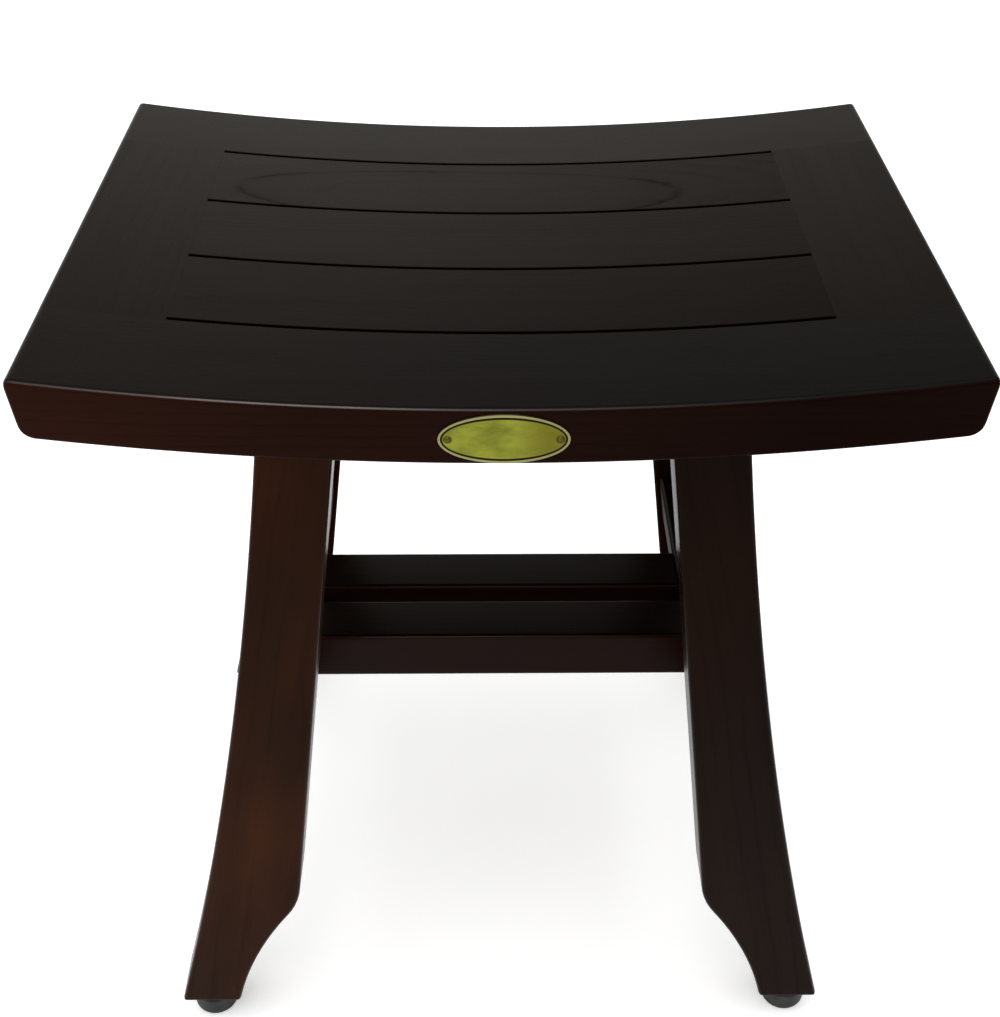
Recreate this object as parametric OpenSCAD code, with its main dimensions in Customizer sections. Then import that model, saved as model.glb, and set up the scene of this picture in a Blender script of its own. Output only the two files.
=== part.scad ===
// Small dark-stained teak foot stool: dished slatted seat, four sabre legs,
// two side rails, two stretchers and screw-in levelling feet.
// Millimetres. +Z up, -Y is the front, the floor is z = 0 under the seat's centre.

/* [Seat] */
// seat length, left to right
seat_w = 336; // [324:1:348]
// seat depth, front to back
seat_d = 252; // [246:1:258]
// height of the seat's two ends above the floor
seat_h = 340; // [334:1:352]
// thickness of the seat boards
seat_t = 22.5; // [20:0.5:23]
// how far the seat dips at its middle
seat_dip = 12; // [8:0.5:13]
// inward lean of the seat's end faces, in degrees
end_lean = 9; // [4:1:12]
// rounding at the top of the seat's end faces
end_round_top = 3; // [2:0.5:4]
// rounding at the foot of the seat's end faces
end_round_low = 5; // [3:0.5:6]
// rounding along the seat's front and back top edges
edge_round = 2; // [1:0.5:4]

/* [Slots and slats] */
// width of each drainage slot
slot_w = 2; // [1.5:0.5:3]
// length of each drainage slot
slot_len = 244; // [236:1:248]
// distance from one slot to the next
slot_pitch = 51; // [49:0.5:52]
// how far behind the seat's middle the slot pattern sits
slot_shift = 3.5; // [0:0.5:4]
// length of the tongue on each slat end
tongue_len = 10; // [8:1:12]
// thickness of the tongues
tongue_t = 7; // [6:0.5:8]

/* [Legs] */
// thickness of a leg, front to back
leg_t = 25; // [24:1:27]
// how far the legs stand back from the seat's front and rear edges
leg_inset = 6; // [4:1:8]
// outer edge of a leg just under the seat, from the middle
leg_top_out = 87; // [85:0.5:89]
// inner edge of a leg just under the seat, from the middle
leg_top_in = 59.5; // [58:0.5:61]
// outer edge of a leg at its foot, from the middle
leg_foot_out = 141; // [138:0.5:142]
// inner edge of a leg at its foot, from the middle
leg_foot_in = 115.5; // [113:0.5:116]
// how far the outer edge bows in from a straight line
leg_bow = 5.2; // [3:0.1:7]
// height of the knuckle on the inner edge
knuckle_h = 75; // [70:1:80]
// inner edge of a leg at the knuckle, from the middle
knuckle_x = 86; // [85:0.5:87]
// rounding of the knuckle
knuckle_r = 30; // [20:1:35]
// radius of the hollow below the knuckle
hollow_r = 150; // [130:5:200]
// how much further out the rear legs stand than the front ones
rear_out = 4.5; // [0:0.5:5]
// height of the leg's foot above the floor
foot_gap = 14; // [14:0.5:16]

/* [Rails and stretchers] */
// height of the top of the side rails and stretchers
rail_top = 148; // [140:1:154]
// height of the side rails and stretchers, and thickness of the side rails
bar = 23; // [22:0.5:24]
// thickness of the stretchers, front to back
bar_deep = 26; // [24:0.5:27]
// inner face of the side rails at mid-height, from the middle
rail_in = 85; // [83:0.5:86]
// lean of the side rails' faces, beside the legs' own lean, in degrees
rail_cant = 6.5; // [4:0.5:7]
// clear gap between the two stretchers
bar_gap = 10; // [9:1:14]
// rounding of the bars' long edges
bar_round = 2; // [1:0.5:3]
// thickness of the two rails under the seat
bearer_t = 21; // [20:1:22]
// underside of the two rails under the seat, down from the seat's end height
bearer_drop = 57; // [56:1:58]
// length of the rail tenons
tenon_len = 15; // [12:1:17]

/* [Hardware] */
// radius of the frame bolts
bolt_r = 3; // [2.5:0.5:3]
// length of the oval plate on the seat's front
plate_w = 45.5; // [40:0.5:48]
// height of the oval plate
plate_h = 19.6; // [17:0.2:20]
// thickness of the oval plate
plate_t = 0.8; // [0.6:0.1:1.2]
// radius of a levelling foot's pad
pad_r = 9.5; // [8.5:0.5:10.5]
// radius of a levelling foot's threaded stud
stud_r = 4; // [3.5:0.5:4]

/* [Hidden] */
// seat arc: radius of the top surface, and the height of its centre
R = (seat_w * seat_w / 4 + seat_dip * seat_dip) / (2 * seat_dip);
zc = seat_h - seat_dip + R;
// slots, front to back
slots = [for (i = [0 : 3]) slot_shift + slot_pitch * (i - 1.5)];
x_slat = slot_len / 2;
front = -seat_d / 2;
back = seat_d / 2;
// legs
leg_top_z = seat_h - 34;
y_leg = seat_d / 2 - leg_inset;
y_in = y_leg - leg_t;
y_mid = y_leg - leg_t / 2;
p_top = [leg_top_out, leg_top_z];
p_foot = [leg_foot_out, foot_gap];
knuckle = [knuckle_x, knuckle_h];
heel = [leg_foot_in, foot_gap];
x_foot = (leg_foot_in + leg_foot_out) / 2 + 0.25;
// where a foot stands from the middle: t is 1 at the back and -1 at the front
function foot_x(t) = x_foot + (t > 0 ? rear_out : 0);
// rails
rail_mid_x = rail_in + bar / 2 / cos(rail_cant);
bar_z = rail_top - bar / 2;
bar_y = bar_gap / 2 + bar_deep / 2;
bearer_low = seat_h - bearer_drop;
bearer_x = (leg_top_in + leg_top_out) / 2 + 3;
bolt_y = y_in - 8;
under_z = zc - sqrt(pow(R + seat_t, 2) - bearer_x * bearer_x);
dowel_x = [142, 156];
wood = [0.16, 0.09, 0.07];
wood_light = [0.2, 0.11, 0.08];
brass_c = [0.72, 0.62, 0.3];
steel_c = [0.62, 0.63, 0.65];
rubber_c = [0.05, 0.05, 0.05];

// ---------- plane geometry ----------

// unit vector, and the same turned a quarter anticlockwise
function unit(v) = v / norm(v);
function left(v) = [-v[1], v[0]];
// radius and centre of the arc from a to b that bows s away from its chord
function arc_r(a, b, s) = (pow(norm(b - a), 2) / 4 + s * s) / (2 * s);
function arc_c(a, b, s) = (a + b) / 2 + left(unit(b - a)) * (arc_r(a, b, s) - s);
// centre of the circle of radius r through a and b, on the left of a to b
function two_c(a, b, r) = (a + b) / 2 - left(unit(b - a)) * sqrt(r * r - pow(norm(b - a), 2) / 4);
// where the line from p along u first meets the circle of radius r about c
function line_circle(p, u, c, r) = let (d = p - c, h = d * u)
    p + u * (-h - sqrt(h * h - d * d + r * r));

// height of the seat's mid-thickness at x
function seat_mid(x) = zc - sqrt(pow(R + seat_t / 2, 2) - x * x);

// what a rounding of radius r about k takes off, between outward normals n1 and n2
module round_off(k, r, n1, n2) {
    e = 6;
    difference() {
        polygon([k, k + n1 * (r + e), k + (n1 + n2) * (r + e), k + n2 * (r + e)]);
        translate(k) circle(r = r, $fn = 64);
    }
}

// a profile in X and Z, extruded from y0 to y1
module along_y(y0, y1) {
    translate([0, y1, 0]) rotate([90, 0, 0]) linear_extrude(height = y1 - y0) children();
}

// ---------- seat ----------

// fillet centre on the line from p along u, at radius rr from the arc's centre
function on_arc(p, u, rr) = let (d = p - [0, zc], h = d * u)
    p + u * (-h + sqrt(h * h - d * d + rr * rr));

// what is cut off the seat's right end: the leaning face and its two roundings
module end_cut() {
    q = [seat_w / 2, seat_h];
    d = [-sin(end_lean), -cos(end_lean)];
    n = [cos(end_lean), -sin(end_lean)];
    polygon([q - d * 30, q + d * 50, q + d * 50 + n * 60, q - d * 30 + n * 60]);
}

module end_rounds() {
    q = [seat_w / 2, seat_h];
    d = [-sin(end_lean), -cos(end_lean)];
    n = [cos(end_lean), -sin(end_lean)];
    c = [0, zc];
    k1 = on_arc(q - n * end_round_top, d, R + end_round_top);
    k2 = on_arc(q - n * end_round_low, d, R + seat_t - end_round_low);
    round_off(k1, end_round_top, unit(c - k1), n);
    round_off(k2, end_round_low, unit(k2 - c), n);
}

module both_ends(y0, y1) {
    for (s = [0, 1]) mirror([s, 0, 0]) {
        along_y(y0, y1) end_cut();
        along_y(y0, y1) end_rounds();
    }
}

// the curved sheet of the seat between two radii, with nothing rounded
module seat_arc(y0, y1, r0, r1, x0, x1) {
    along_y(y0, y1) intersection() {
        difference() {
            translate([0, zc]) circle(r = r1, $fn = 1440);
            translate([0, zc]) circle(r = r0, $fn = 1440);
        }
        translate([x0, seat_h - 90]) square([x1 - x0, 120]);
    }
}

// section of a full-length rail, its outer long edges rounded: radius, then depth
module rail_section(w) {
    e = edge_round;
    f = 1.5;
    translate([R + e, 0]) square([seat_t - e - f, w]);
    translate([R, e]) square([seat_t - f, w - e]);
    translate([R + seat_t - f - 1, f]) square([f + 1, w - f]);
    translate([R + e, e]) circle(r = e, $fn = 48);
    translate([R + seat_t - f, f]) circle(r = f, $fn = 48);
}

// the section turned about the seat's arc
module rail_arc() {
    translate([0, 0, zc]) rotate([90, 0, 0]) rotate([0, 0, 261])
        rotate_extrude(angle = 18, $fn = 1440) children();
}

// holes for the dowels between the rails and the end boards
module dowel_bores(extra) {
    for (s = [-1, 1], x = dowel_x, y = [slots[0], slots[3]])
        translate([s * x, y + 19 + extra, seat_mid(x)]) rotate([90, 0, 0])
            cylinder(r = 4 + (extra > 0 ? 0.05 : 0), h = 38 + 2 * extra, $fn = 48);
}

module seat_front_rail() color(wood) difference() {
    rail_arc() translate([0, -front]) mirror([0, 1]) rail_section(slots[0] - slot_w / 2 - front);
    both_ends(front - 1, slots[0] + 1);
    dowel_bores(0.5);
    for (s = [-1, 1]) translate([s * bearer_x, -bolt_y, under_z - 3])
        cylinder(r = 4.55, h = 16.5, $fn = 48);
    for (s = [-1, 1]) translate([s * plate_w * 0.425, front + 9.5, plate_z])
        rotate([90, 0, 0]) cylinder(r = 0.75, h = 12, $fn = 24);
}

module seat_rear_rail() color(wood) difference() {
    rail_arc() translate([0, -back]) rail_section(back - slots[3] - slot_w / 2);
    both_ends(slots[3] - 1, back + 1);
    dowel_bores(0.5);
    for (s = [-1, 1]) translate([s * bearer_x, bolt_y, under_z - 3])
        cylinder(r = 4.55, h = 16.5, $fn = 48);
}

slat_y = [for (i = [0 : 2]) [slots[i] + slot_w / 2, slots[i + 1] - slot_w / 2]];
plate_z = seat_h - seat_dip - seat_t / 2 - 0.25;

// end board on the right, mirrored for the left
module end_board() difference() {
    seat_arc(slots[0] - slot_w / 2, slots[3] + slot_w / 2, R, R + seat_t, x_slat, seat_w / 2 + 20);
    both_ends(slots[0] - 10, slots[3] + 10);
    dowel_bores(0.5);
    for (y = slat_y)
        seat_arc(y[0] + 1.8, y[1] - 1.8, R + (seat_t - tongue_t) / 2 - 0.2,
            R + (seat_t + tongue_t) / 2 + 0.2, x_slat - 1, x_slat + tongue_len + 1);
}

module seat_right_end() color(wood_light) end_board();
module seat_left_end() color(wood_light) mirror([1, 0, 0]) end_board();

module slat(i) {
    y = slat_y[i];
    seat_arc(y[0], y[1], R, R + seat_t, -x_slat, x_slat);
    seat_arc(y[0] + 2, y[1] - 2, R + (seat_t - tongue_t) / 2, R + (seat_t + tongue_t) / 2,
        -x_slat - tongue_len, x_slat + tongue_len);
}

module seat_slat_front() color(wood) slat(0);
module seat_slat_middle() color(wood) slat(1);
module seat_slat_rear() color(wood) slat(2);

module seat_dowels() color([0.55, 0.42, 0.28]) dowel_bores(0);

// ---------- oval plate and its pins ----------

module oval(w, h) {
    polygon([for (i = [0 : 95]) [w / 2 * cos(i * 3.75), h / 2 * sin(i * 3.75)]]);
}

module name_plate() color(brass_c) translate([0, front, plate_z]) rotate([90, 0, 0])
difference() {
    linear_extrude(height = plate_t) oval(plate_w, plate_h);
    // shallow border line just inside the rim
    translate([0, 0, plate_t - 0.15]) linear_extrude(height = 1) difference() {
        oval(plate_w - 1.9, plate_h - 1.9);
        oval(plate_w - 2.9, plate_h - 2.9);
    }
    for (s = [-1, 1]) translate([s * plate_w * 0.425, 0, -1]) cylinder(r = 0.75, h = 4, $fn = 24);
}

module plate_pins() color(brass_c)
for (s = [-1, 1]) translate([s * plate_w * 0.425, front - plate_t, plate_z]) rotate([90, 0, 0]) {
    translate([0, 0, -8.8]) cylinder(r = 0.7, h = 9, $fn = 24);
    intersection() {
        translate([0, 0, -0.75]) sphere(r = 1.4, $fn = 48);
        cylinder(r = 2, h = 2, $fn = 48);
    }
}

// ---------- legs ----------

// the leg's two edges in X and Z, for the right-hand side
module leg_sides() {
    c_out = arc_c(p_top, p_foot, leg_bow);
    r_out = arc_r(p_top, p_foot, leg_bow);
    c_hol = two_c(knuckle, heel, hollow_r);
    u_in = unit(knuckle - [leg_top_in, leg_top_z]);
    up = knuckle - u_in * 250;
    // fillet centre: knuckle_r inside the straight edge, and clear of the hollow
    w = left(u_in);
    k = line_circle(knuckle + w * knuckle_r - u_in * 80, u_in, c_hol, hollow_r + knuckle_r);
    difference() {
        polygon([up, [up[0] + 90, up[1]], [knuckle_x + 90, foot_gap], heel,
            heel + [-0.5, 0.01], knuckle]);
        translate(c_out) circle(r = r_out, $fn = 1440);
        translate(c_hol) circle(r = hollow_r, $fn = 360);
        round_off(k, knuckle_r, -w, unit(c_hol - k));
    }
}

// the leg's outline, moved out and cut off under the seat
module leg_outline(out) difference() {
    translate([out, 0]) leg_sides();
    translate([0, zc]) circle(r = R + seat_t + 0.2, $fn = 1440);
}

// one leg at the back right, with its mortises and its insert hole
module leg(out) difference() {
    along_y(y_in, y_leg) leg_outline(out);
    translate([bearer_x - 5.2, y_in - 1, bearer_low + 4.8])
        cube([10.4, tenon_len + 2, 16.4]);
    translate([rail_mid_x - 5.2, y_in - 1, rail_top - bar + 3.3])
        cube([10.4, tenon_len + 2, bar - 6.6]);
    translate([x_foot + out, y_mid, foot_gap - 1]) cylinder(r = 6.05, h = 15.2, $fn = 48);
    translate([x_foot + out, y_mid, foot_gap]) cylinder(r = 4.6, h = 24, $fn = 48);
}

module rear_right_leg() color(wood) leg(rear_out);
module rear_left_leg() color(wood) mirror([1, 0, 0]) leg(rear_out);
module front_right_leg() color(wood) mirror([0, 1, 0]) leg(0);
module front_left_leg() color(wood_light) mirror([0, 1, 0]) mirror([1, 0, 0]) leg(0);

// ---------- rails ----------

module rounded_bar_section(w, h, r) {
    translate([-w / 2 + r, -h / 2]) square([w - 2 * r, h]);
    translate([-w / 2, -h / 2 + r]) square([w, h - 2 * r]);
    for (a = [-1, 1], b = [-1, 1]) translate([a * (w / 2 - r), b * (h / 2 - r)])
        circle(r = r, $fn = 48);
}

// rail under the seat, on the right: its top follows the seat
module bearer() difference() {
    union() {
        along_y(-y_in, y_in) difference() {
            translate([bearer_x - bearer_t / 2, bearer_low]) square([bearer_t, 60]);
            translate([0, zc]) circle(r = R + seat_t + 0.2, $fn = 1440);
        }
        translate([bearer_x - 5, -y_in - tenon_len, bearer_low + 5])
            cube([10, 2 * (y_in + tenon_len), 16]);
    }
    for (s = [-1, 1]) translate([bearer_x, s * bolt_y, 0]) {
        translate([0, 0, bearer_low - 1]) cylinder(r = 7, h = 8, $fn = 48);
        translate([0, 0, bearer_low]) cylinder(r = bolt_r + 0.3, h = 60, $fn = 48);
    }
}

module right_top_rail() color(wood) bearer();
module left_top_rail() color(wood) mirror([1, 0, 0]) bearer();

// section of the right side rail: level top and underside, leaning sides
module leaning_section() difference() {
    h = bar / 2;
    r = bar_round;
    polygon([for (c = [[-1, -1], [1, -1], [1, 1], [-1, 1]])
        [(c[0] * h / cos(rail_cant)) - c[1] * h * tan(rail_cant), c[1] * h]]);
    for (a = [-1, 1], b = [-1, 1])
        round_off([a * (h - r) / cos(rail_cant) - b * (h - r) * tan(rail_cant), b * (h - r)], r,
            [0, b], a * [cos(rail_cant), sin(rail_cant)]);
}

// side rail on the right: joins the front leg to the rear leg
module side_rail() difference() {
    union() {
        translate([rail_mid_x, 0, bar_z]) along_y(-y_in, y_in) leaning_section();
        translate([rail_mid_x - 5, -y_in - tenon_len, rail_top - bar + 3.5])
            cube([10, 2 * (y_in + tenon_len), bar - 7]);
    }
    for (s = [-1, 1]) {
        translate([rail_in - 1, s * bar_y, bar_z]) rotate([0, 90, 0])
            cylinder(r = bolt_r + 0.3, h = bar + 2, $fn = 48);
        translate([rail_in + bar - 8, s * bar_y, bar_z]) rotate([0, 90, 0])
            cylinder(r = 7, h = 10, $fn = 48);
        translate([rail_in - 1, s * (bar_y + 6.5), bar_z - 6.5]) rotate([0, 90, 0])
            cylinder(r = 2.55, h = 13.5, $fn = 36);
    }
}

module right_side_rail() color(wood) side_rail();
module left_side_rail() color(wood) mirror([1, 0, 0]) side_rail();

// ---------- stretchers ----------

// what is cut off a stretcher's end, so that it meets the leaning face of the side rail
module slant_cut() along_y(0, bar_gap + bar_deep) {
    e = 20 * tan(rail_cant);
    polygon([[rail_in - e, bar_z + 20], [rail_in + e, bar_z - 20],
        [rail_in + 30, bar_z - 20], [rail_in + 30, bar_z + 20]]);
}

// stretcher at the back, mirrored for the front
module stretcher() difference() {
    translate([-rail_in - 5, bar_y, bar_z]) rotate([90, 0, 90])
        linear_extrude(height = 2 * rail_in + 10) rounded_bar_section(bar_deep, bar, bar_round);
    for (s = [0, 1]) mirror([s, 0, 0]) slant_cut();
    for (s = [-1, 1]) {
        translate([s * rail_in - (s > 0 ? 15 : 3), bar_y, bar_z]) rotate([0, 90, 0])
            cylinder(r = 4.55, h = 18, $fn = 48);
        translate([s * rail_in - (s > 0 ? 30 : 3), bar_y, bar_z]) rotate([0, 90, 0])
            cylinder(r = bolt_r + 0.3, h = 33, $fn = 48);
        translate([s * rail_in - (s > 0 ? 12.5 : 3), bar_y + 6.5, bar_z - 6.5]) rotate([0, 90, 0])
            cylinder(r = 2.55, h = 15.5, $fn = 36);
    }
}

module rear_stretcher() color(wood) stretcher();
module front_stretcher() color(wood) mirror([0, 1, 0]) stretcher();

module stretcher_dowels() color([0.55, 0.42, 0.28])
for (s = [-1, 1], t = [-1, 1])
    translate([s * rail_in - 12, t * (bar_y + 6.5), bar_z - 6.5]) rotate([0, 90, 0])
        cylinder(r = 2.5, h = 24, $fn = 36);

// ---------- hardware ----------

// threaded brass insert, standing on z = 0
module insert(ro, ri, h) difference() {
    cylinder(r = ro, h = h, $fn = 48);
    translate([0, 0, -1]) cylinder(r = ri, h = h + 2, $fn = 48);
}

// socket-head bolt, its head below z = 0 and its shank above
module bolt(len) {
    difference() {
        translate([0, 0, -5.6]) cylinder(r = 5, h = 5.6, $fn = 48);
        translate([0, 0, -6]) cylinder(r = 2.9, h = 3.4, $fn = 6);
    }
    cylinder(r = bolt_r, h = len, $fn = 48);
}

module washer() difference() {
    cylinder(r = 6.5, h = 1.2, $fn = 48);
    translate([0, 0, -1]) cylinder(r = bolt_r + 0.2, h = 4, $fn = 48);
}

module seat_inserts() color(brass_c)
for (s = [-1, 1], t = [-1, 1]) translate([s * bearer_x, t * bolt_y, under_z + 0.6])
    insert(4.5, bolt_r + 0.05, 12);

module seat_bolts() color(steel_c)
for (s = [-1, 1], t = [-1, 1]) translate([s * bearer_x, t * bolt_y, bearer_low + 5.8])
    bolt(31);

module seat_washers() color(steel_c)
for (s = [-1, 1], t = [-1, 1]) translate([s * bearer_x, t * bolt_y, bearer_low + 5.8])
    washer();

// everything on one stretcher end is placed from the side rail's counterbore
module at_stretcher_ends() {
    for (s = [0, 1], t = [-1, 1]) mirror([s, 0, 0])
        translate([rail_in + bar - 6.8, t * bar_y, bar_z]) rotate([0, -90, 0]) children();
}

module stretcher_inserts() color(brass_c) at_stretcher_ends()
    translate([0, 0, bar - 6.8 + 1.2]) insert(4.5, bolt_r + 0.05, 13);

module stretcher_bolts() color(steel_c) at_stretcher_ends() bolt(42);

module stretcher_washers() color(steel_c) at_stretcher_ends() washer();

module foot_inserts() color(steel_c)
for (s = [-1, 1], t = [-1, 1]) translate([s * foot_x(t), t * y_mid, foot_gap])
    insert(6, stud_r + 0.05, 14);

// ---------- levelling feet ----------

// swivelling rubber pad with the pocket that holds the stud's button
module foot_pad(s, t) translate([s * foot_x(t), t * y_mid, 0]) rotate_extrude($fn = 96)
difference() {
    union() {
        translate([0, 3]) square([pad_r, 6.5]);
        square([pad_r - 3, 10]);
        translate([pad_r - 3, 3]) circle(r = 3, $fn = 64);
        translate([pad_r - 1.2, 9]) circle(r = 1.2, $fn = 48);
        translate([0, 9]) square([pad_r - 1.2, 1.2]);
    }
    translate([-20, -1]) square([20, 20]);
    translate([-1, 3.95]) square([7.05, 2.1]);
    translate([-1, 4]) square([1 + stud_r + 0.05, 12]);
}

// stud with a round button in the pad, a hexagon to turn it by, and its thread
module foot_stud(s, t) translate([s * foot_x(t), t * y_mid, 0]) {
    translate([0, 0, 4]) cylinder(r = 6, h = 2, $fn = 48);
    translate([0, 0, 4]) cylinder(r = stud_r, h = 27, $fn = 48);
    translate([0, 0, 10.5]) cylinder(r = 7.2, h = 3.2, $fn = 6);
}

module foot_pad_front_left() color(rubber_c) foot_pad(-1, -1);
module foot_pad_front_right() color(rubber_c) foot_pad(1, -1);
module foot_pad_rear_left() color(rubber_c) foot_pad(-1, 1);
module foot_pad_rear_right() color(rubber_c) foot_pad(1, 1);
module foot_stud_front_left() color(steel_c) foot_stud(-1, -1);
module foot_stud_front_right() color(steel_c) foot_stud(1, -1);
module foot_stud_rear_left() color(steel_c) foot_stud(-1, 1);
module foot_stud_rear_right() color(steel_c) foot_stud(1, 1);

seat_front_rail();
seat_rear_rail();
seat_left_end();
seat_right_end();
seat_slat_front();
seat_slat_middle();
seat_slat_rear();
seat_dowels();
name_plate();
plate_pins();
front_left_leg();
front_right_leg();
rear_left_leg();
rear_right_leg();
left_top_rail();
right_top_rail();
left_side_rail();
right_side_rail();
front_stretcher();
rear_stretcher();
stretcher_dowels();
seat_inserts();
seat_bolts();
seat_washers();
stretcher_inserts();
stretcher_bolts();
stretcher_washers();
foot_inserts();
foot_pad_front_left();
foot_pad_front_right();
foot_pad_rear_left();
foot_pad_rear_right();
foot_stud_front_left();
foot_stud_front_right();
foot_stud_rear_left();
foot_stud_rear_right();
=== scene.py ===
import math

import bmesh
import bpy
from mathutils import Matrix, Vector


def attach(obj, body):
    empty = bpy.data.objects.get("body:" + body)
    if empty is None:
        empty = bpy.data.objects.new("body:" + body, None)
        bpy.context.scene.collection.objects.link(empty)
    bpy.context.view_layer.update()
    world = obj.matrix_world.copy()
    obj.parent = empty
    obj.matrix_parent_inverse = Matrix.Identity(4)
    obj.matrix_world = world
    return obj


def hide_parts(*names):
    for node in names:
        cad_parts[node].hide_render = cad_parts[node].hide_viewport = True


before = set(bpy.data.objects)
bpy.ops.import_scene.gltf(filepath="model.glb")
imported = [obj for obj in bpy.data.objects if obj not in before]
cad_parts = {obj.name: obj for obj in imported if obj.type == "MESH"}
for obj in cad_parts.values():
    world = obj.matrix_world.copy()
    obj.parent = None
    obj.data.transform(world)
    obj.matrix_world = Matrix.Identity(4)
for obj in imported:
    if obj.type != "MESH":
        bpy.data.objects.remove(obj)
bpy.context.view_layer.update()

scene = bpy.context.scene
MM = 0.001

# ---------------------------------------------------------------- dimensions
# Millimetres, the same values as in part.scad.
SEAT_W, SEAT_D, SEAT_H, SEAT_T, SEAT_DIP = 336.0, 252.0, 340.0, 22.5, 12.0
END_LEAN = math.radians(9)
R = (SEAT_W * SEAT_W / 4 + SEAT_DIP * SEAT_DIP) / (2 * SEAT_DIP)
ZC = SEAT_H - SEAT_DIP + R
X_SLAT = 122.0
SLOTS = (-73.0, -22.0, 29.0, 80.0)
FRONT, BACK = -126.0, 126.0
Y_LEG, Y_IN = 120.0, 95.0
FOOT_Z, TOP_Z = 14.0, 306.0
X_FOOT, Y_MID = 128.5, 107.5
BOLT_Y = 87.0
REAR_OUT = 4.5
BEARER_X, RAIL_X = 76.25, 85 + 11.5 / math.cos(math.radians(6.5))
PLATE_Z, PIN_X = 316.5, 19.34


def line_circle_z(c, r, z):
    return math.sqrt(max(r * r - (z - c[1]) ** 2, 0.0))


def arc_through(a, b, bow):
    """Radius and centre of the arc from a to b that bows towards the stool's middle."""
    chord = math.hypot(b[0] - a[0], b[1] - a[1])
    r = (chord * chord / 4 + bow * bow) / (2 * bow)
    u = ((b[0] - a[0]) / chord, (b[1] - a[1]) / chord)
    n = (-u[1], u[0])
    return r, ((a[0] + b[0]) / 2 + n[0] * (r - bow), (a[1] + b[1]) / 2 + n[1] * (r - bow))


OUT_R, OUT_C = arc_through((87.0, TOP_Z), (141.0, FOOT_Z), 5.2)
KNUCKLE, HEEL, HOLLOW_R, KNUCKLE_R = (86.0, 75.0), (115.5, FOOT_Z), 150.0, 30.0
IN_TOP = (59.5, TOP_Z)


def hollow_centre():
    ax, az = KNUCKLE
    bx, bz = HEEL
    chord = math.hypot(bx - ax, bz - az)
    u = ((bx - ax) / chord, (bz - az) / chord)
    h = math.sqrt(HOLLOW_R ** 2 - chord ** 2 / 4)
    return ((ax + bx) / 2 + u[1] * h, (az + bz) / 2 - u[0] * h)


HOL_C = hollow_centre()
_l = math.hypot(KNUCKLE[0] - IN_TOP[0], KNUCKLE[1] - IN_TOP[1])
U_IN = ((KNUCKLE[0] - IN_TOP[0]) / _l, (KNUCKLE[1] - IN_TOP[1]) / _l)
W_IN = (-U_IN[1], U_IN[0])


def fillet_centre():
    px = KNUCKLE[0] + W_IN[0] * KNUCKLE_R - U_IN[0] * 80
    pz = KNUCKLE[1] + W_IN[1] * KNUCKLE_R - U_IN[1] * 80
    dx, dz = px - HOL_C[0], pz - HOL_C[1]
    h = dx * U_IN[0] + dz * U_IN[1]
    t = -h - math.sqrt(h * h - dx * dx - dz * dz + (HOLLOW_R + KNUCKLE_R) ** 2)
    return (px + U_IN[0] * t, pz + U_IN[1] * t)


FIL_C = fillet_centre()
# where the knuckle's rounding meets the straight edge, and where it meets the hollow
FIL_TOP_Z = FIL_C[1] - W_IN[1] * KNUCKLE_R
_d = math.hypot(FIL_C[0] - HOL_C[0], FIL_C[1] - HOL_C[1])
FIL_LOW_Z = HOL_C[1] + (FIL_C[1] - HOL_C[1]) * HOLLOW_R / _d


def leg_out(z):
    return OUT_C[0] - line_circle_z(OUT_C, OUT_R, z) if OUT_C[0] > 100 else OUT_C[0] + line_circle_z(OUT_C, OUT_R, z)


def leg_in(z):
    if z >= FIL_TOP_Z:
        return IN_TOP[0] + U_IN[0] / U_IN[1] * (z - IN_TOP[1])
    if z >= FIL_LOW_Z:
        return FIL_C[0] - line_circle_z(FIL_C, KNUCKLE_R, z)
    return HOL_C[0] + line_circle_z(HOL_C, HOLLOW_R, z)


def seat_z(x, h):
    """Height of the seat at x, h above its curved underside."""
    return ZC - math.sqrt((R + SEAT_T - h) ** 2 - x * x)


# ---------------------------------------------------------------- meshes
def link(o):
    scene.collection.objects.link(o)
    return o


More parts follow.
